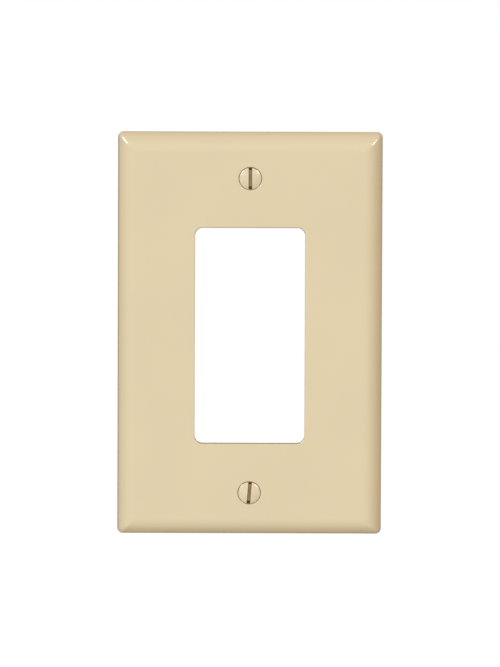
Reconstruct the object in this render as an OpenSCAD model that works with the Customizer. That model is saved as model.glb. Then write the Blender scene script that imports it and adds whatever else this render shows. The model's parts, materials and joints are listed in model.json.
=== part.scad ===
// One-gang wall plate for a rectangular wiring device, with its two mounting screws.
// Millimetres. +Z is up the plate, +X is to the right as seen from the room, and the front
// faces -Y. The origin is the centre of the device opening, on the plane of the wall.

/* [Plate] */
// Width of the plate across its back rim
plate_w = 80.2; // [76:0.1:90]
// Height of the plate along its back rim
plate_h = 124; // [120:0.5:134]
// Distance from the wall to the front face
plate_depth = 5.5; // [5.3:0.1:7]
// Thickness of the face and the side walls
wall = 2; // [1.8:0.1:2.2]
// Lean of the side walls towards the middle of the plate, in degrees
side_lean = 18; // [6:1:20]
// Radius of the rounded shoulder between the side walls and the face
shoulder_r = 4.2; // [3.5:0.1:4.6]
// Radius of the four corners of the outline
corner_r = 1.8; // [0.5:0.1:3]

/* [Device opening] */
// Width of the opening
opening_w = 33.3; // [32:0.1:34]
// Height of the opening
opening_h = 66.5; // [65:0.1:68]
// Radius of the corners of the opening
opening_r = 2.4; // [1:0.1:4]

/* [Back of the plate] */
// Diameter of the boss behind each screw hole
boss_d = 11; // [9:0.5:14]
// Distance from the wall to the back of each boss
boss_gap = 2.8; // [2.6:0.1:3]
// Distance from the edge of the opening to the rib frame round it
rib_inset = 1.6; // [1:0.1:2.4]
// Thickness of the ribs
rib_w = 1.1; // [0.8:0.1:1.6]
// Distance from the wall to the edge of the ribs
rib_gap = 2.2; // [1.8:0.1:2.5]
// Height of the cross ribs above and below the middle
cross_rib_z = 21; // [12:1:28]

/* [Screws] */
// Distance between the screw centres
screw_spacing = 96.84; // [96.4:0.01:97.2]
// Diameter across the thread crests
thread_d = 3.505; // [3.3:0.005:3.6]
// Diameter of the plain neck under the head
neck_d = 3; // [2.8:0.1:3.1]
// Distance from the wall to the first turn of the thread
thread_start = 2.1; // [1.9:0.1:2.1]
// Length from the widest part of the head to the tip
screw_length = 12.7; // [12.7:0.1:16]
// Diameter of the oval head
head_d = 6.65; // [6.2:0.05:6.8]
// Height of the dome on the head
dome_h = 0.9; // [0.6:0.1:1.1]
// Width of the driver slot
slot_w = 1.1; // [0.9:0.05:1.2]
// Depth of the driver slot below the top of the dome
slot_depth = 1.85; // [1.3:0.05:1.9]
// Turn of the lower slot from upright, in degrees
lower_slot_turn = 4.5; // [0:0.5:90]

/* [Retaining washers] */
// Outer diameter
washer_d = 7; // [6:0.5:9]
// Thickness
washer_t = 0.6; // [0.4:0.05:0.6]

/* [Hidden] */
$fn = 96;
// extra length that carries each cutter clear of the surface it cuts
over = 1;
// how far the short ribs run into the bosses, which stand lower than the ribs
boss_bite = 1.3;

// countersink: 82 degrees across, wider than the head by an even gap
head_half_angle = 41;
head_slope = tan(head_half_angle);
head_seat_gap = 0.35;
mouth_d = head_d + 2 * head_seat_gap;
clearance_d = 4;
sink_depth = (mouth_d - clearance_d) / 2 / head_slope;

// screw, by distance along Y
head_edge_y = 0.15 - plate_depth;
head_land = 0.1;
cone_end_y = head_edge_y + (head_d - neck_d) / 2 / head_slope;
tip_y = head_edge_y + screw_length;
tip_chamfer = 0.5;
dome_top_y = head_edge_y - head_land - dome_h;
dome_r = (pow(head_d / 2, 2) + pow(dome_h, 2)) / (2 * dome_h);

// washer: just behind the boss, and just clear of the thread crests
washer_gap = 0.05;
washer_bore_d = thread_d + 0.1;

plastic_colour = [0.89, 0.82, 0.68];
paint_colour = [0.87, 0.80, 0.66];
nylon_colour = [0.93, 0.93, 0.90];

// ---- shared shapes ----

module rounded_rectangle(width, height, r) {
    square([width - 2 * r, height], center = true);
    square([width, height - 2 * r], center = true);
    for (x = [-1, 1], z = [-1, 1])
        translate([x * (width / 2 - r), z * (height / 2 - r)]) circle(r);
}

// turns a drawing in X and Z into a slab from the wall plane to this far in front of it
module slab(depth) {
    rotate([90, 0, 0]) linear_extrude(depth) children();
}

// turns a shape built along +Z to lie along +Y, so that its height reads as Y
module along_y() {
    rotate([-90, 0, 0]) children();
}

module at_screw(end) {
    translate([0, 0, end * screw_spacing / 2]) children();
}

// section across the plate: leaning side walls, a round shoulder tangent to wall and face
module section(half_width, depth, r) {
    centre_y = r - depth;
    centre_x = half_width + centre_y * tan(side_lean) - r / cos(side_lean);
    tangent_x = centre_x + r * cos(side_lean);
    tangent_y = centre_y - r * sin(side_lean);
    polygon([[-half_width, 0], [half_width, 0], [tangent_x, tangent_y], [-tangent_x, tangent_y]]);
    intersection() {
        translate([-half_width, -depth]) square([2 * half_width, depth]);
        union() {
            translate([-centre_x, -depth]) square([2 * centre_x, depth]);
            for (side = [-1, 1]) translate([side * centre_x, centre_y]) circle(r);
        }
    }
}

// a solid whose shoulders meet in mitres at the four corners
module mitred_block(width, height, depth, r, outline_r) {
    intersection() {
        linear_extrude(height, center = true) section(width / 2, depth, r);
        rotate([0, -90, 0]) linear_extrude(width, center = true) section(height / 2, depth, r);
        slab(depth) rounded_rectangle(width, height, outline_r);
    }
}

// ---- plate ----

module shell() {
    difference() {
        mitred_block(plate_w, plate_h, plate_depth, shoulder_r, corner_r);
        translate([0, over, 0])
            mitred_block(plate_w - 2 * wall, plate_h - 2 * wall, plate_depth - wall + over,
                         shoulder_r - wall, corner_r / 2);
    }
}

module rib_frame() {
    inner_w = opening_w + 2 * rib_inset;
    inner_h = opening_h + 2 * rib_inset;
    difference() {
        rounded_rectangle(inner_w + 2 * rib_w, inner_h + 2 * rib_w, opening_r + rib_w);
        rounded_rectangle(inner_w, inner_h, opening_r);
    }
}

module cross_ribs() {
    frame_x = opening_w / 2 + rib_inset + rib_w / 2;
    rib_length = plate_w / 2 - wall - frame_x;
    for (x = [-1, 1], z = [-1, 1])
        translate([x * (frame_x + rib_length / 2), z * cross_rib_z])
            square([rib_length, rib_w], center = true);
}

// short ribs from each boss to the rib frame, clear of the washer on the boss
module boss_ribs() {
    frame_z = opening_h / 2 + rib_inset + rib_w / 2;
    rib_height = screw_spacing / 2 - boss_d / 2 + boss_bite - frame_z;
    for (x = [-1, 1], z = [-1, 1])
        translate([x * boss_d / 4, z * (frame_z + rib_height / 2)])
            square([rib_w, rib_height], center = true);
}

module ribs() {
    translate([0, -rib_gap, 0])
        slab(plate_depth - wall / 2 - rib_gap) {
            rib_frame();
            cross_ribs();
            boss_ribs();
        }
}

module boss() {
    along_y() translate([0, 0, wall / 2 - plate_depth])
        cylinder(h = plate_depth - wall / 2 - boss_gap, d = boss_d);
}

module screw_hole() {
    along_y() {
        translate([0, 0, -plate_depth - over]) cylinder(h = plate_depth + 2 * over, d = clearance_d);
        translate([0, 0, -plate_depth])
            cylinder(h = sink_depth, d1 = mouth_d, d2 = clearance_d);
    }
}

module wall_plate() {
    color(plastic_colour)
        difference() {
            union() {
                shell();
                ribs();
                for (end = [-1, 1]) at_screw(end) boss();
            }
            translate([0, over, 0])
                slab(plate_depth + 2 * over) rounded_rectangle(opening_w, opening_h, opening_r);
            for (end = [-1, 1]) at_screw(end) screw_hole();
        }
}

// ---- screws ----

// half outline of the screw, drawn with its height as distance along Y
module screw_outline() {
    polygon([
        [0, head_edge_y - head_land],
        [head_d / 2, head_edge_y - head_land],
        [head_d / 2, head_edge_y],
        [neck_d / 2, cone_end_y],
        [neck_d / 2, -thread_start],
        [thread_d / 2, -thread_start],
        [thread_d / 2, tip_y - tip_chamfer],
        [thread_d / 2 - tip_chamfer, tip_y],
        [0, tip_y]
    ]);
    intersection() {
        translate([0, dome_top_y]) square([head_d / 2, dome_h]);
        translate([0, dome_top_y + dome_r]) circle(dome_r);
    }
}

module machine_screw(slot_turn) {
    color(paint_colour)
        along_y() difference() {
            rotate_extrude() screw_outline();
            rotate([0, 0, slot_turn])
                translate([-slot_w / 2, -head_d, dome_top_y - over])
                    cube([slot_w, 2 * head_d, slot_depth + over]);
        }
}

module upper_screw() {
    at_screw(1) machine_screw(0);
}

module lower_screw() {
    at_screw(-1) machine_screw(lower_slot_turn);
}

// ---- retaining washers ----

module retaining_washer() {
    color(nylon_colour)
        along_y() translate([0, 0, washer_gap - boss_gap]) difference() {
            cylinder(h = washer_t, d = washer_d);
            translate([0, 0, -over]) cylinder(h = washer_t + 2 * over, d = washer_bore_d);
        }
}

module upper_retaining_washer() {
    at_screw(1) retaining_washer();
}

module lower_retaining_washer() {
    at_screw(-1) retaining_washer();
}

wall_plate();
upper_screw();
lower_screw();
upper_retaining_washer();
lower_retaining_washer();
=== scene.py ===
"""Looks for a one-gang wall plate with its two mounting screws and their retaining washers.

Every mesh is swept from a rounded profile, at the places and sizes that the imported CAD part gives.
Lengths are in metres: sizes in millimetres are written as 2.2 * MM.
"""
import json
import math

import bmesh
import bpy
from mathutils import Matrix, Quaternion, Vector, geometry

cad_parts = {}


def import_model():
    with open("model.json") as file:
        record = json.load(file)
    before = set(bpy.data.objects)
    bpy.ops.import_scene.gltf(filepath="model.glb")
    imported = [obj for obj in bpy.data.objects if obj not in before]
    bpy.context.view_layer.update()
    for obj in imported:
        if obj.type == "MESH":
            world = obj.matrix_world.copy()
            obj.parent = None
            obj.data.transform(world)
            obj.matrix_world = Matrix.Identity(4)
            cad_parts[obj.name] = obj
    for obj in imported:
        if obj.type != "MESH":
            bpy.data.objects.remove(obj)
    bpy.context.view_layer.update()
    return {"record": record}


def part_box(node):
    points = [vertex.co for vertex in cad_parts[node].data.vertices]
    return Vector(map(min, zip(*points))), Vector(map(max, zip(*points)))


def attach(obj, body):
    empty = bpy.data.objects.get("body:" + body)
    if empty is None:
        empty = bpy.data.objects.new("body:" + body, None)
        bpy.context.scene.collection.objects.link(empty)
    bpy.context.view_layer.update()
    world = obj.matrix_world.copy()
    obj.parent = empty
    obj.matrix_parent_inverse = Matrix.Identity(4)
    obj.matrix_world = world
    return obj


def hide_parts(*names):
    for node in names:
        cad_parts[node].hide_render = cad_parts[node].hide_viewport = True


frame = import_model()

MM = 0.001
MERGE = 0.002 * MM

plate_low, plate_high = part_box("wall_plate")

# ---- sizes that the CAD boxes don't give ----

WALL = 2 * MM
SIDE_LEAN = math.radians(18)
OPENING_W = 33.3 * MM
OPENING_H = 66.5 * MM
OPENING_R = 2.4 * MM
CORNER_R = 1.8 * MM
MITRE_R = 0.7 * MM
MITRE_FADE = 0.9 * MM
# the shoulder is a wide arc over the side, then a tighter one on to the face
SHOULDER_SIDE_R = 8.2 * MM
SHOULDER_FACE_R = 4.7 * MM
SHOULDER_JOIN = math.radians(46)

HALF_W = plate_high.x
HALF_H = plate_high.z
FACE_Y = plate_low.y
BACK_Y = FACE_Y + WALL

BOSS_R = 5.5 * MM
BOSS_BACK_Y = -2.8 * MM
RIB_INSET = 1.6 * MM
RIB_W = 1.1 * MM
RIB_EDGE_Y = -2.2 * MM
CROSS_RIB_Z = 21 * MM
BOSS_RIB_X = 2.75 * MM
BOSS_RIB_END = 4.2 * MM

SCREW_SPACING = 96.84 * MM
HOLE_R = 2 * MM
MOUTH_R = 3.675 * MM
HEAD_SLOPE = math.tan(math.radians(41))

# ---- profiles: lists of (distance, y) ----


def rounded(corners, steps=6):
    """A line through corners (a, y, radius), with an arc of that radius at each corner that has one."""
    points = []
    for i, (a, y, radius) in enumerate(corners):
        here = Vector((a, y))
        if radius == 0:
            points.append(here)
            continue
        back = (Vector(corners[i - 1][:2]) - here).normalized()
        on = (Vector(corners[i + 1][:2]) - here).normalized()
        half = back.angle(on) / 2
        start = here + back * radius / math.tan(half)
        end = here + on * radius / math.tan(half)
        centre = here + (back + on).normalized() * radius / math.sin(half)
        first = math.atan2(start.y - centre.y, start.x - centre.x)
        last = math.atan2(end.y - centre.y, end.x - centre.x)
        turn = (last - first + math.pi) % (2 * math.pi) - math.pi
        for k in range(steps + 1):
            angle = first + turn * k / steps
            points.append(centre + radius * Vector((math.cos(angle), math.sin(angle))))
    return [(p.x, p.y) for p in points]


# ---- meshes ----


def ring_of_rectangle(half_w, half_h, radius, y, arc_steps=10, sides=(14, 24)):
    """Points round a rounded rectangle, the same number whatever its size."""
    corners = [(1, 1), (-1, 1), (-1, -1), (1, -1)]
    points = []
    for i, (sx, sz) in enumerate(corners):
        centre = Vector((sx * (half_w - radius), 0, sz * (half_h - radius)))
        for k in range(arc_steps + 1):
            angle = math.pi / 2 * (i + k / arc_steps)
            points.append(centre + Vector((radius * math.cos(angle), y, radius * math.sin(angle))))
        next_sx, next_sz = corners[(i + 1) % 4]
        angle = math.pi / 2 * (i + 1)
        end = Vector((next_sx * (half_w - radius) + radius * math.cos(angle), y,
                      next_sz * (half_h - radius) + radius * math.sin(angle)))
        start = points[-1]
        count = sides[i % 2]
        points += [start.lerp(end, k / count) for k in range(1, count)]
    return points


def ring_of_circle(x, z, radius, y, count=64):
    turns = [2 * math.pi * k / count for k in range(count)]
    return [Vector((x + radius * math.cos(t), y, z + radius * math.sin(t))) for t in turns]


def stack(bm, rings):
    """Adds rings of points and bridges each to the next. Returns the first and last as vertices."""
    loops = [[bm.verts.new(p) for p in ring] for ring in rings]
    bridge(bm, loops)
    return loops[0], loops[-1]


def bridge(bm, loops):
    for low, high in zip(loops, loops[1:]):
        count = len(low)
        for i in range(count):
            j = (i + 1) % count
            bm.faces.new((low[i], low[j], high[j], high[i]))


def cap(bm, loop, centre, steps):
    """Closes a round loop with smaller rings and a fan."""
    loops = [loop]
    for k in range(1, steps):
        loops.append([bm.verts.new(v.co.lerp(centre, k / steps)) for v in loop])
    bridge(bm, loops)
    middle = bm.verts.new(centre)
    last = loops[-1]
    for i, v in enumerate(last):
        bm.faces.new((v, last[(i + 1) % len(last)], middle))


def inside(point, outline):
    """True if a point (x, z) is inside an outline of vertices."""
    x, z = point
    found = False
    for a, b in zip(outline, outline[1:] + outline[:1]):
        if (a.co.z > z) != (b.co.z > z):
            if x < a.co.x + (z - a.co.z) / (b.co.z - a.co.z) * (b.co.x - a.co.x):
                found = not found
    return found


def flat_region(bm, outer, holes, y, cell=4 * MM):
    """Fills a flat region at y between an outer loop and holes, on an even grid of points."""
    loops = [outer, *holes]
    verts = [v for loop in loops for v in loop]
    edges = []
    first = 0
    for loop in loops:
        edges += [(first + i, first + (i + 1) % len(loop)) for i in range(len(loop))]
        first += len(loop)
    rim = list(verts)
    width = max(v.co.x for v in outer)
    height = max(v.co.z for v in outer)
    columns = round(width / cell)
    rows = round(height / cell)
    for i in range(-columns + 1, columns):
        for j in range(-rows + 1, rows):
            spot = Vector((i * width / columns, y, j * height / rows))
            if any(inside((spot.x, spot.z), hole) for hole in holes):
                continue
            if min((spot - v.co).length for v in rim) > 0.45 * cell:
                verts.append(bm.verts.new(spot))
    # in millimetres, because the triangulation loses thin triangles at the size of metres
    flat = [Vector((v.co.x / MM, v.co.z / MM)) for v in verts]
    found, _, triangles, origins, _, _ = geometry.delaunay_2d_cdt(flat, edges, [], 1, 1e-6)
    for triangle in triangles:
        middle = sum((found[i] for i in triangle), Vector((0, 0))) / 3 * MM
        if not any(inside(middle, hole) for hole in holes):
            bm.faces.new([verts[origins[i][0]] for i in triangle])


def bar(bm, start, end, width, foot_y, edge_y, edge_r=0.2 * MM, flare=0.2 * MM):
    """A rib from start to end, (x, z) points, with a rounded edge and a flared foot."""
    along = Vector((end[0] - start[0], 0, end[1] - start[1])).normalized()
    across = Vector((along.z, 0, -along.x))
    half = width / 2
    sunk = 0.1 * flare
    side = rounded([
        (half + 2 * flare, foot_y - sunk, 0),
        (half, foot_y - sunk, 1.2 * flare),
        (half, edge_y, edge_r),
        (0, edge_y, 0),
    ], 4)
    side.insert(0, (half + 2 * flare, foot_y - 3 * flare))
    outline = side + [(-a, y) for a, y in reversed(side[:-1])]
    rings = []
    for x, z in (start, end):
        rings.append([Vector((x, y, z)) + across * a for a, y in outline])
    first, last = stack(bm, rings)
    bm.faces.new(first)
    bm.faces.new(last)


def piece(name, bm, materials):
    """Turns a bmesh into an object with clean outward normals."""
    bmesh.ops.remove_doubles(bm, verts=bm.verts, dist=MERGE)
    bmesh.ops.dissolve_degenerate(bm, edges=bm.edges, dist=MERGE / 10)
    bmesh.ops.recalc_face_normals(bm, faces=bm.faces)
    mesh = bpy.data.meshes.new(name)
    bm.to_mesh(mesh)
    bm.free()
    obj = bpy.data.objects.new(name, mesh)
    bpy.context.scene.collection.objects.link(obj)
    for material in materials:
        mesh.materials.append(material)
    return obj


def smooth(obj, degrees=35):
    """Smooth shading that keeps flat faces flat and real edges sharp."""
    obj.data.shade_smooth()
    obj.data.set_sharp_from_angle(angle=math.radians(degrees))
    weights = obj.modifiers.new("flat faces stay flat", "WEIGHTED_NORMAL")
    weights.keep_sharp = True
    apply_modifiers(obj)


def apply_modifiers(obj):
    graph = bpy.context.evaluated_depsgraph_get()
    final = bpy.data.meshes.new_from_object(obj.evaluated_get(graph))
    obj.modifiers.clear()
    obj.data = final
    final.name = obj.name


def combine(obj, other, operation):
    """Joins other to obj, or cuts it away, and removes other."""
    step = obj.modifiers.new(operation, "BOOLEAN")
    step.operation = operation
    step.solver = "EXACT"
    step.object = other
    apply_modifiers(obj)
    bpy.data.objects.remove(other)


# ---- wall plate ----


def shell_profile():
    """(inset, y) from the back of the face, round the rim and over the shoulder to the face."""
    lean = math.tan(SIDE_LEAN)
    inner_r = 2 * MM
    inner_corner = WALL - BACK_Y * lean
    inside_line = rounded([
        (inner_corner + 2 * inner_r, BACK_Y, 0),
        (inner_corner, BACK_Y, inner_r),
        (WALL, 0, 0.15 * MM),
        (0, 0, 0.2 * MM),
        (-FACE_Y * lean, FACE_Y, 0),
    ], 8)[1:-1]
    arcs = (
        (math.pi / 2 - SIDE_LEAN, SHOULDER_JOIN, SHOULDER_SIDE_R, 12),
        (SHOULDER_JOIN, 0, SHOULDER_FACE_R, 16),
    )
    y = FACE_Y + sum(radius * (math.cos(last) - math.cos(first)) for first, last, radius, _ in arcs)
    inset = -y * lean
    shoulder = [(inset, y)]
    for first, last, radius, steps in arcs:
        for k in range(1, steps + 1):
            before = first + (last - first) * (k - 1) / steps
            after = first + (last - first) * k / steps
            inset += radius * (math.sin(before) - math.sin(after))
            y -= radius * (math.cos(after) - math.cos(before))
            shoulder.append((inset, y))
    return inside_line + shoulder


def opening_profile():
    """(distance outside the opening, y) from the back, over the rib frame, through to the face."""
    outer = RIB_INSET + RIB_W
    foot_r = 0.2 * MM
    return rounded([
        (outer + 2 * foot_r, BACK_Y, 0),
        (outer, BACK_Y, foot_r),
        (outer, RIB_EDGE_Y, 0.2 * MM),
        (RIB_INSET, RIB_EDGE_Y, 0.2 * MM),
        (RIB_INSET, BACK_Y, foot_r),
        (0, BACK_Y, 0.3 * MM),
        (0, FACE_Y, 0.35 * MM),
        (0.8 * MM, FACE_Y, 0),
    ])


def screw_hole_profile():
    """(radius, y) from the back, over the boss, through the countersink to the face."""
    sink_end = FACE_Y + (MOUTH_R - HOLE_R) / HEAD_SLOPE
    return rounded([
        (BOSS_R + 0.5 * MM, BACK_Y, 0),
        (BOSS_R, BACK_Y, 0.25 * MM),
        (BOSS_R, BOSS_BACK_Y, 0.25 * MM),
        (HOLE_R, BOSS_BACK_Y, 0.15 * MM),
        (HOLE_R, sink_end, 0.2 * MM),
        (MOUTH_R, FACE_Y, 0.3 * MM),
        (MOUTH_R + 0.8 * MM, FACE_Y, 0),
    ])


def wall_plate(material, screws):
    bm = bmesh.new()
    rings = []
    for inset, y in shell_profile():
        radius = MITRE_R + (CORNER_R - MITRE_R) * math.exp(-max(inset, 0) / MITRE_FADE)
        rings.append(ring_of_rectangle(HALF_W - inset, HALF_H - inset, radius, y))
    back_edge, face_edge = stack(bm, rings)
    rings = []
    for out, y in opening_profile():
        half_w, half_h = OPENING_W / 2 + out, OPENING_H / 2 + out
        rings.append(ring_of_rectangle(half_w, half_h, OPENING_R + out, y, 8, (12, 22)))
    backs, fronts = ([loop] for loop in stack(bm, rings))
    for x, z in screws:
        rings = [ring_of_circle(x, z, r, y) for r, y in screw_hole_profile()]
        back, front = stack(bm, rings)
        backs.append(back)
        fronts.append(front)
    flat_region(bm, face_edge, fronts, FACE_Y)
    flat_region(bm, back_edge, backs, BACK_Y)
    plate = piece("plate", bm, [material])
    combine(plate, stiffening_ribs(material, screws), "UNION")
    smooth(plate)
    return plate


def stiffening_ribs(material, screws):
    """The cross ribs and the short ribs at the bosses, each buried a little in what it joins."""
    bm = bmesh.new()
    edge_y = RIB_EDGE_Y - 0.05 * MM
    frame_x = OPENING_W / 2 + RIB_INSET + RIB_W / 2
    frame_z = OPENING_H / 2 + RIB_INSET + RIB_W / 2
    wall_x = HALF_W - WALL - 0.2 * MM
    for sx in (-1, 1):
        for sz in (-1, 1):
            z = sz * CROSS_RIB_Z
            bar(bm, (sx * frame_x, z), (sx * wall_x, z), RIB_W, BACK_Y, edge_y)
        for screw_x, screw_z in screws:
            side = math.copysign(1, screw_z)
            x = screw_x + sx * BOSS_RIB_X
            bar(bm, (x, side * frame_z), (x, screw_z - side * BOSS_RIB_END), RIB_W, BACK_Y, edge_y)
    return piece("ribs", bm, [material])


# ---- screws ----

SLOT_W = 1.1 * MM
SLOT_DEPTH = 1.85 * MM
LOWER_SLOT_TURN = math.radians(4.5)
DOME_H = 0.9 * MM
LAND = 0.1 * MM
NECK_R = 1.5 * MM
THREAD_R = 1.7525 * MM
PITCH = 25.4 / 32 * MM
THREAD_DEPTH = 0.541 * PITCH
TIP_CHAMFER = 0.5 * MM
THREAD_START_Y = -2.1 * MM
PAINT_END_Y = -3 * MM
ROUND_STEPS = 64


def head_profile(head_r, top_y):
    """(radius, y) from the painted end of the neck, up the cone and over the dome."""
    edge_y = top_y + DOME_H + LAND
    cone_end_y = edge_y + (head_r - NECK_R) / HEAD_SLOPE
    dome_r = (head_r ** 2 + DOME_H ** 2) / (2 * DOME_H)
    side = rounded([
        (NECK_R, PAINT_END_Y, 0),
        (NECK_R, cone_end_y, 0.3 * MM),
        (head_r, edge_y, 0.06 * MM),
        (head_r, edge_y - LAND, 0.05 * MM),
        (head_r - 0.3 * MM, edge_y - LAND - 0.15 * MM, 0),
    ])[:-1]
    dome = []
    steps = 12
    widest = math.asin((head_r - 0.08 * MM) / dome_r)
    for k in range(steps):
        angle = widest * (1 - k / steps)
        dome.append((dome_r * math.sin(angle), top_y + dome_r * (1 - math.cos(angle))))
    return side + dome


def slot_cutter(x, z, top_y, turn, material):
    """A bar along the slot that reaches past the head. Paint has pooled in one bottom corner."""
    bm = bmesh.new()
    reach = 5 * MM
    half = SLOT_W / 2
    floor_y = top_y + SLOT_DEPTH
    outline = rounded([
        (half, top_y - reach, 0),
        (half, floor_y, 0.1 * MM),
        (-half, floor_y, 0.4 * MM),
        (-half, top_y - reach, 0),
    ], 5)
    along = Vector((math.sin(turn), 0, math.cos(turn)))
    across = Vector((math.cos(turn), 0, -math.sin(turn)))
    centre = Vector((x, 0, z))
    rings = []
    for end in (-1, 1):
        middle = centre + along * end * reach
        rings.append([middle + across * a + Vector((0, y, 0)) for a, y in outline])
    first, last = stack(bm, rings)
    bm.faces.new(first)
    bm.faces.new(last)
    return piece("slot", bm, [material])


def soften(obj, width, degrees=30, segments=2):
    """Rounds every edge sharper than this."""
    bm = bmesh.new()
    bm.from_mesh(obj.data)
    bmesh.ops.dissolve_limit(bm, angle_limit=math.radians(0.5), verts=bm.verts, edges=bm.edges)
    limit = math.radians(degrees)
    sharp = [e for e in bm.edges if len(e.link_faces) == 2 and e.calc_face_angle() > limit]
    bmesh.ops.bevel(bm, geom=sharp, offset=width, segments=segments, profile=0.5,
                    affect="EDGES", clamp_overlap=True)
    bmesh.ops.recalc_face_normals(bm, faces=bm.faces)
    bm.to_mesh(obj.data)
    bm.free()


def screw_head(name, node, turn, material):
    low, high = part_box(node)
    x, z = (low.x + high.x) / 2, (low.z + high.z) / 2
    profile = head_profile((high.x - low.x) / 2, low.y)
    bm = bmesh.new()
    first, last = stack(bm, [ring_of_circle(x, z, r, y, ROUND_STEPS) for r, y in profile])
    cap(bm, first, Vector((x, PAINT_END_Y, z)), 3)
    cap(bm, last, Vector((x, low.y, z)), 2)
    head = piece(name, bm, [material])
    combine(head, slot_cutter(x, z, low.y, turn, material), "DIFFERENCE")
    soften(head, 0.06 * MM)
    smooth(head, 40)
    return head


def thread_radius(turns, y, start_y, end_y):
    """Radius of a right-hand thread, at this many turns round and this y.

    It eases in at the start and is cut to a cone at the tip."""
    phase = (y / PITCH + turns) % 1 - 0.5
    crest, root = 1 / 16, 3 / 8
    depth = min(max((abs(phase) - crest) / (root - crest), 0), 1) * THREAD_DEPTH
    begin = min((y - start_y) / PITCH, 1)
    cut = THREAD_R - depth
    eased = NECK_R + (cut - NECK_R) * begin * begin * (3 - 2 * begin)
    tip_r = THREAD_R - TIP_CHAMFER
    return min(eased, tip_r + end_y - y)


def thread_loops(bm, x, z, start_y, end_y):
    """Adds the thread as strips that follow its helix. Returns its two end loops."""
    # places along one pitch: the middle of a root, the flanks and crest, the next root
    places = [-0.5, -0.375, -0.27, -0.165, -0.0625, 0.0625, 0.165, 0.27, 0.375, 0.5]
    count = math.ceil((end_y - start_y) / PITCH + 2) * ROUND_STEPS
    rows = []
    for t in range(count + 1):
        turns = t / ROUND_STEPS
        crest_y = end_y + PITCH - (end_y / PITCH % 1 - 0.5 + turns) * PITCH
        angle = 2 * math.pi * turns
        row = []
        for place in places:
            y = min(max(crest_y + place * PITCH, start_y), end_y)
            r = thread_radius(turns, y, start_y, end_y)
            row.append(bm.verts.new((x + r * math.cos(angle), y, z + r * math.sin(angle))))
        rows.append(row)
    for here, there in zip(rows, rows[1:]):
        for k in range(len(places) - 1):
            bm.faces.new((here[k], there[k], there[k + 1], here[k + 1]))
    bmesh.ops.remove_doubles(bm, verts=bm.verts, dist=MERGE)
    loops = []
    for y in (start_y, end_y):
        loop = [v for v in bm.verts if v.is_boundary and abs(v.co.y - y) < MERGE]
        loop.sort(key=lambda v: math.atan2(v.co.z - z, v.co.x - x))
        loops.append(loop)
    return loops


def screw_shank(name, node, material):
    low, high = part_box(node)
    x, z = (low.x + high.x) / 2, (low.z + high.z) / 2
    bm = bmesh.new()
    start, tip = thread_loops(bm, x, z, THREAD_START_Y, high.y)
    sunk_y = PAINT_END_Y - 0.4 * MM
    neck_r = NECK_R - 0.02 * MM
    rings = [start]
    for y in (THREAD_START_Y - 0.1 * MM, (THREAD_START_Y + PAINT_END_Y) / 2, sunk_y):
        ring = []
        for v in start:
            out = (v.co - Vector((x, v.co.y, z))) / NECK_R * neck_r
            ring.append(bm.verts.new(out + Vector((x, y, z))))
        rings.append(ring)
    bridge(bm, rings)
    cap(bm, rings[-1], Vector((x, sunk_y, z)), 2)
    cap(bm, tip, Vector((x, high.y, z)), 3)
    shank = piece(name, bm, [material])
    smooth(shank, 50)
    return shank


# ---- retaining washers ----


def washer(name, node, material):
    """A moulded disc with a thinner lip round its bore."""
    low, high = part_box(node)
    x, z = (low.x + high.x) / 2, (low.z + high.z) / 2
    outer_r = (high.x - low.x) / 2
    bore_r = THREAD_R + 0.05 * MM
    lip_r = 2.35 * MM
    lip = 0.18 * MM
    profile = rounded([
        (bore_r, (low.y + high.y) / 2, 0),
        (bore_r, low.y + lip, 0.05 * MM),
        (lip_r, low.y + lip, 0.08 * MM),
        (lip_r + 0.1 * MM, low.y, 0.06 * MM),
        (outer_r, low.y, 0.12 * MM),
        (outer_r, high.y, 0.12 * MM),
        (lip_r + 0.1 * MM, high.y, 0.06 * MM),
        (lip_r, high.y - lip, 0.08 * MM),
        (bore_r, high.y - lip, 0.05 * MM),
        (bore_r, (low.y + high.y) / 2, 0),
    ], 4)[:-1]
    bm = bmesh.new()
    loops = [[bm.verts.new(p) for p in ring_of_circle(x, z, r, y, ROUND_STEPS)] for r, y in profile]
    bridge(bm, loops + loops[:1])
    made = piece(name, bm, [material])
    smooth(made, 50)
    return made


# ---- materials ----


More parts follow.
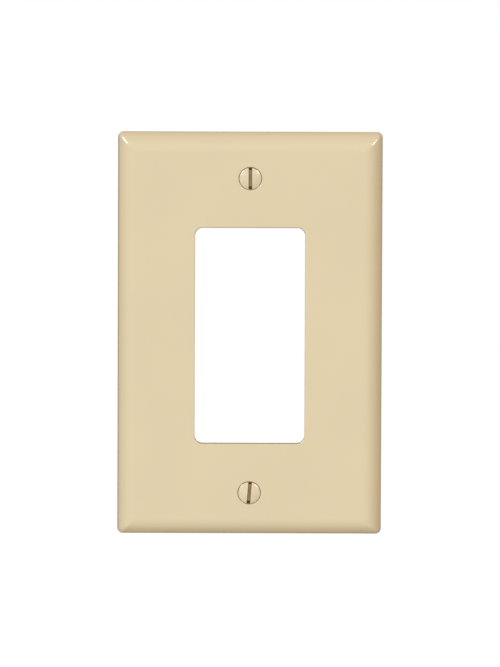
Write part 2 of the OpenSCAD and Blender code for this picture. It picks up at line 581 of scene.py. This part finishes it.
class Nodes:
    """The node tree of a material or world, with short calls for the few nodes that they use."""

    def __init__(self, owner, coordinates):
        owner.use_nodes = True
        self.owner = owner
        self.tree = owner.node_tree
        self.place = self.new("TexCoord").outputs[coordinates]

    def new(self, kind):
        """Adds a node."""
        return self.tree.nodes.new("ShaderNode" + kind)

    def link(self, source, target):
        self.tree.links.new(source, target)

    def noise(self, size, detail=2, stretch=None):
        """Noise whose features are about this size, in metres."""
        node = self.new("TexNoise")
        node.inputs["Scale"].default_value = 1 / size
        node.inputs["Detail"].default_value = detail
        place = self.place
        if stretch:
            mapping = self.new("Mapping")
            mapping.inputs["Scale"].default_value = stretch
            self.link(place, mapping.inputs["Vector"])
            place = mapping.outputs["Vector"]
        self.link(place, node.inputs["Vector"])
        return node.outputs["Fac"]

    def spread(self, value, low, high, to_low=0, to_high=1):
        """Goes evenly from to_low to to_high as value goes from low to high."""
        node = self.new("MapRange")
        limits = {"From Min": low, "From Max": high, "To Min": to_low, "To Max": to_high}
        for name, number in limits.items():
            node.inputs[name].default_value = number
        self.link(value, node.inputs["Value"])
        return node.outputs["Result"]

    def math(self, operation, first, second):
        """An arithmetic node on a socket and a socket or number."""
        node = self.new("Math")
        node.operation = operation
        self.link(first, node.inputs[0])
        if isinstance(second, bpy.types.NodeSocket):
            self.link(second, node.inputs[1])
        else:
            node.inputs[1].default_value = second
        return node.outputs["Value"]

    def size(self, value):
        """A value without its sign."""
        return self.math("ABSOLUTE", value, 0)

    def all_of(self, mask, *others):
        """Where every mask holds."""
        for other in others:
            mask = self.math("MULTIPLY", mask, other)
        return mask

    def any_of(self, mask, *others):
        """Where at least one mask holds."""
        for other in others:
            mask = self.math("MAXIMUM", mask, other)
        return mask

    def along(self, axis):
        """Where a point is along an axis: x, y or z."""
        node = self.new("SeparateXYZ")
        self.link(self.place, node.inputs["Vector"])
        return node.outputs[axis.upper()]

    def from_screws(self, spacing):
        """How far a point is from the nearer screw's axis, for screws this far apart along Z."""
        height = self.math("SUBTRACT", self.size(self.along("z")), spacing / 2)
        squares = [self.math("MULTIPLY", side, side) for side in (self.along("x"), height)]
        return self.math("SQRT", self.math("ADD", *squares), 0)

    def mix(self, value, first, second):
        """A colour between first and second. Each is a colour or a socket."""
        node = self.new("Mix")
        node.data_type = "RGBA"
        self.link(value, node.inputs["Factor"])
        for name, colour in (("A", first), ("B", second)):
            socket = next(s for s in node.inputs if s.name == name and s.type == "RGBA")
            if isinstance(colour, bpy.types.NodeSocket):
                self.link(colour, socket)
            else:
                socket.default_value = (*colour, 1)
        return next(s for s in node.outputs if s.type == "RGBA")

    def bump(self, height, distance, onto=None):
        """A normal tilted by a height, over any other normal."""
        node = self.new("Bump")
        node.inputs["Distance"].default_value = distance
        self.link(height, node.inputs["Height"])
        if onto:
            self.link(onto, node.inputs["Normal"])
        return node.outputs["Normal"]

    def shaded(self, **values):
        """The material, with its shader's sockets set: numbers and colours directly, sockets by links."""
        shader = self.tree.nodes["Principled BSDF"]
        for name, value in values.items():
            socket = shader.inputs[name.replace("_", " ")]
            if isinstance(value, bpy.types.NodeSocket):
                self.link(value, socket)
            elif isinstance(value, tuple):
                socket.default_value = (*value, 1)
            else:
                socket.default_value = value
        return self.owner


def material_nodes(name):
    return Nodes(bpy.data.materials.new(name), "Object")


def shade(colour, factor):
    return tuple(c * factor for c in colour)


def record_colour(slot):
    """The record's linear colour for a slot."""
    return tuple(next(m for m in frame["record"]["materials"] if m["slot"] == slot)["base_color"][:3])


# painted shade: a dark brown for the deepest shade, and a lighter brown where the shade is only partial
DEEP_PAINTED_SHADE = (0.16, 0.085, 0.028)
SOFT_PAINTED_SHADE = (0.36, 0.19, 0.045)


def plastic():
    """Glossy moulded thermoplastic: faint flow shading, orange peel and a few dull patches.

    Painted shade darkens the countersinks, the opening's wall, a line under its top edge and the back
    rim, most of it on the left."""
    m = material_nodes("ivory_plastic")
    red, green, blue = record_colour("ivory_plastic")
    # a little less blue, which the reflected white studio gives back
    ivory = (red * 1.004, green * 0.996, blue * 0.965)
    cloud = m.spread(m.noise(22 * MM, 3), 0.35, 0.65)
    peel = m.noise(1.6 * MM, 2)
    grain = m.noise(0.25 * MM, 2)
    x, y, z = m.along("x"), m.along("y"), m.along("z")
    from_x, from_z = m.size(x), m.size(z)

    # painted shade: the countersinks darken as if in shadow
    near_screw = m.spread(m.from_screws(SCREW_SPACING), MOUTH_R + 0.1 * MM, MOUTH_R)
    countersinks = m.all_of(near_screw, m.spread(y, FACE_Y + 0.08 * MM, FACE_Y + 0.4 * MM))

    # painted shade: a dark line round the back rim of the outline
    outermost = m.any_of(m.spread(from_x, HALF_W - 0.5 * MM, HALF_W - 0.3 * MM),
                         m.spread(from_z, HALF_H - 0.5 * MM, HALF_H - 0.3 * MM))
    rim = m.all_of(outermost, m.spread(y, -0.65 * MM, -0.15 * MM, 0, 0.6))
    # painted shade: a wider dark band along the left side's back edge
    left_rim = m.spread(x, 0.5 * MM - HALF_W, 0.25 * MM - HALF_W, 0, 0.45)

    # painted shade: the opening's inner wall darkens as if in shadow
    across = m.spread(from_x, OPENING_W / 2 + 0.06 * MM, OPENING_W / 2)
    up = m.spread(from_z, OPENING_H / 2 + 0.06 * MM, OPENING_H / 2)
    wall = m.all_of(across, up, m.spread(y, FACE_Y + 0.12 * MM, FACE_Y + 0.5 * MM, 0, 0.55))

    # painted shade: a thin dark line at the opening's top edge, where its rounding turns down
    above_corners = m.spread(z, OPENING_H / 2 - 3 * MM, OPENING_H / 2 - 2 * MM)
    below_face = m.spread(z, OPENING_H / 2 + 0.35 * MM, OPENING_H / 2 + 0.25 * MM)
    just_in = m.spread(y, FACE_Y + 0.005 * MM, FACE_Y + 0.06 * MM, 0, 0.8)
    top_edge = m.all_of(across, above_corners, below_face, just_in)

    # all the painted shade above mixes the ivory towards a dark brown
    painted_shade = m.any_of(countersinks, rim, left_rim, wall, top_edge)
    clean = m.mix(cloud, shade(ivory, 0.992), shade(ivory, 1.008))
    return m.shaded(
        Base_Color=m.mix(painted_shade, clean, DEEP_PAINTED_SHADE),
        Roughness=m.spread(m.noise(7 * MM, 4), 0.3, 0.7, 0.17, 0.24),
        IOR=1.5,
        Normal=m.bump(grain, 0.002 * MM, onto=m.bump(peel, 0.006 * MM)),
    )


def paint():
    """Baked enamel on steel: a soft skin, a little thicker and wavier than the moulding.

    Painted shade turns the slot brown, darkest at its two ends."""
    m = material_nodes("ivory_paint")
    ivory = record_colour("ivory_paint")
    cloud = m.spread(m.noise(2.5 * MM, 3), 0.35, 0.65)
    skin = m.noise(0.5 * MM, 2)
    # painted shade: the slot below the dome turns a lighter brown as if shaded
    by_slot = m.spread(m.size(m.along("x")), SLOT_W / 2 + 0.4 * MM, SLOT_W / 2 + 0.3 * MM)
    sunk = m.all_of(by_slot, m.spread(m.along("y"), FACE_Y + 0.2 * MM, FACE_Y + 0.9 * MM))
    # painted shade: a dark brown near the slot's two ends
    ends = m.spread(m.from_screws(SCREW_SPACING), 2.45 * MM, 2.85 * MM)
    slot_shade = m.spread(sunk, 0, 1, 0, 0.7)
    painted_shade = m.all_of(sunk, ends)
    clean = m.mix(cloud, shade(ivory, 0.98), shade(ivory, 1.02))
    return m.shaded(
        Base_Color=m.mix(painted_shade, m.mix(slot_shade, clean, SOFT_PAINTED_SHADE), DEEP_PAINTED_SHADE),
        Roughness=m.spread(m.noise(0.8 * MM, 3), 0.3, 0.7, 0.2, 0.3),
        IOR=1.5,
        Normal=m.bump(skin, 0.008 * MM),
    )


def zinc():
    """Bright zinc plate with a faint passivation tint and fine rolling marks."""
    m = material_nodes("zinc_plate")
    red, green, blue = record_colour("zinc_plate")
    tint = m.spread(m.noise(1.5 * MM, 3), 0.35, 0.65)
    marks = m.noise(0.12 * MM, 2, stretch=(1, 4, 1))
    warm = (red, green * 0.98, blue * 0.9)
    cool = (red * 0.92, green * 0.96, blue)
    return m.shaded(
        Base_Color=m.mix(tint, warm, cool),
        Metallic=1.0,
        Roughness=m.spread(m.noise(0.4 * MM, 3), 0.3, 0.7, 0.26, 0.42),
        Normal=m.bump(marks, 0.003 * MM),
    )


def nylon():
    """Natural nylon: milky, slightly translucent and satin."""
    m = material_nodes("natural_nylon")
    milk = record_colour("natural_nylon")
    cloud = m.spread(m.noise(1.8 * MM, 3), 0.35, 0.65)
    return m.shaded(
        Base_Color=m.mix(cloud, shade(milk, 0.96), shade(milk, 1.03)),
        Roughness=m.spread(m.noise(0.6 * MM, 3), 0.3, 0.7, 0.4, 0.52),
        Subsurface_Weight=0.25,
        Subsurface_Scale=0.4 * MM,
        Normal=m.bump(m.noise(0.3 * MM, 2), 0.006 * MM),
    )


# ---- floor, lights and camera ----


def floor():
    """A plain pale floor, well below the plate."""
    bm = bmesh.new()
    half = 3.0
    z = -0.6
    corners = ((-half, -half), (half, -half), (half, half), (-half, half))
    bm.faces.new([bm.verts.new((x, y, z)) for x, y in corners])
    pale = material_nodes("pale_floor").shaded(
        Base_Color=(0.0, 0.0, 0.0),
        Roughness=1.0,
        Specular_IOR_Level=0.0,
        Emission_Color=(1.0, 1.0, 1.0),
        Emission_Strength=1.0,
    )
    made = piece("floor", bm, [pale])
    made.visible_diffuse = False
    made.visible_glossy = False
    made.visible_shadow = False


def world(**channels):
    """White where the camera looks past the object, and the studio's soft light everywhere else.

    Each of red, green and blue has a mean level. It grows along lean, a vector towards the lights,
    and falls the other way to a limit. Reflections show it grey, as bright as its green."""
    made = bpy.data.worlds.new("studio")
    bpy.context.scene.world = made
    w = Nodes(made, "Generated")
    colour = w.new("CombineColor")
    brightness = {}
    for name, (level, lean, darkest) in channels.items():
        along = w.new("VectorMath")
        along.operation = "DOT_PRODUCT"
        along.inputs[1].default_value = lean
        w.link(w.place, along.inputs[0])
        brightness[name] = w.math("MAXIMUM", w.math("ADD", along.outputs["Value"], level), darkest)
        w.link(brightness[name], colour.inputs[name])
    rays = w.new("LightPath").outputs
    light = w.mix(rays["Is Glossy Ray"], colour.outputs["Color"], brightness["Green"])
    ambient = w.tree.nodes["Background"]
    w.link(light, ambient.inputs["Color"])
    backdrop = w.new("Background")
    backdrop.inputs["Color"].default_value = (1, 1, 1, 1)
    mixed = w.new("MixShader")
    w.link(rays["Is Camera Ray"], mixed.inputs["Fac"])
    w.link(ambient.outputs["Background"], mixed.inputs[1])
    w.link(backdrop.outputs["Background"], mixed.inputs[2])
    w.link(mixed.outputs["Shader"], w.tree.nodes["World Output"].inputs["Surface"])


def placed(name, data):
    """A new object in the scene."""
    made = bpy.data.objects.new(name, data)
    bpy.context.scene.collection.objects.link(made)
    return made


def reflected_strip(name, start, end, width, radiance):
    """A strip light a metre away, from one direction to another, that shows only in reflections."""
    start, end = Vector(start).normalized(), Vector(end).normalized()
    middle = (start + end) / 2
    along = (end - start).normalized()
    away = (middle - along * middle.dot(along)).normalized()
    data = bpy.data.lights.new(name, "AREA")
    data.shape = "RECTANGLE"
    data.size, data.size_y = (end - start).length, width
    # an area light gives a radiance of its power over its area and pi
    data.energy = radiance * data.size * data.size_y * math.pi
    made = placed(name, data)
    made.matrix_world = Matrix((along, away.cross(along), away)).transposed().to_4x4()
    made.location = middle
    made.visible_camera = False
    made.visible_diffuse = False


def back_light(direction, distance, size, energy, colour):
    """A lamp behind the plate, for views of its back. It misses the sides, which lean away from it."""
    away = Vector(direction).normalized()
    data = bpy.data.lights.new("back", "AREA")
    data.size = size
    data.energy = energy
    data.color = colour
    made = placed("back", data)
    made.rotation_mode = "QUATERNION"
    made.rotation_quaternion = away.to_track_quat("Z", "Y")
    made.location = away * distance
    made.visible_camera = False
    made.visible_glossy = False


def camera(azimuth, elevation, distance, seen_height, target, roll):
    data = bpy.data.cameras.new("camera")
    data.sensor_width = 36
    data.lens = data.sensor_width * distance / seen_height
    data.clip_end = 100
    made = placed("camera", data)
    turn, rise = math.radians(azimuth), math.radians(elevation)
    back = Vector((math.sin(turn) * math.cos(rise), -math.cos(turn) * math.cos(rise), math.sin(rise)))
    made.rotation_mode = "QUATERNION"
    look = (-back).to_track_quat("-Z", "Y")
    made.rotation_quaternion = look @ Quaternion((0, 0, 1), math.radians(roll))
    made.location = Vector(target) + back * distance
    bpy.context.scene.camera = made


# ---- the object ----

ivory_plastic = plastic()
ivory_paint = paint()
zinc_plate = zinc()
natural_nylon = nylon()

screw_places = []
for end, slot_turn in (("upper", 0.0), ("lower", LOWER_SLOT_TURN)):
    screw_low, screw_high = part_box(f"{end}_screw")
    screw_places.append(((screw_low.x + screw_high.x) / 2, (screw_low.z + screw_high.z) / 2))
    head = screw_head(f"{end}_screw_head", f"{end}_screw", slot_turn, ivory_paint)
    shank = screw_shank(f"{end}_screw_shank", f"{end}_screw", zinc_plate)
    retainer = washer(f"{end}_washer", f"{end}_retaining_washer", natural_nylon)
    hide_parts(f"{end}_screw")
    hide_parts(f"{end}_screw")
    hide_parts(f"{end}_retaining_washer")
    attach(head, f"{end}_screw")
    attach(shank, f"{end}_screw")
    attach(retainer, f"{end}_washer")

plate = wall_plate(ivory_plastic, screw_places)
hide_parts("wall_plate")
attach(plate, "plate")

# ---- the studio ----

bpy.context.scene.view_settings.view_transform = "Standard"
floor()
# the shade is warmer than the light
world(
    Red=(0.656, (-0.129, -0.467, 0.242), 0.24),
    Green=(0.56, (-0.176, -0.611, 0.267), 0.17),
    Blue=(0.493, (-0.208, -0.711, 0.3), 0.08),
)
reflected_strip("left", (-0.79, 0.05, 0.61), (-0.66, -0.57, 0.41), width=0.5, radiance=14)
reflected_strip("right", (0.79, -0.14, 0.61), (0.62, -0.69, 0.4), width=0.35, radiance=11)
back_light((-0.2, 0.95, 0.22), distance=2, size=0.3, energy=24, colour=(0.74, 0.87, 1.0))
camera(
    azimuth=-0.19,
    elevation=10.6,
    distance=4.7,
    seen_height=0.20212,
    target=(0.07 * MM, -3 * MM, 0.34 * MM),
    roll=0.22,
)
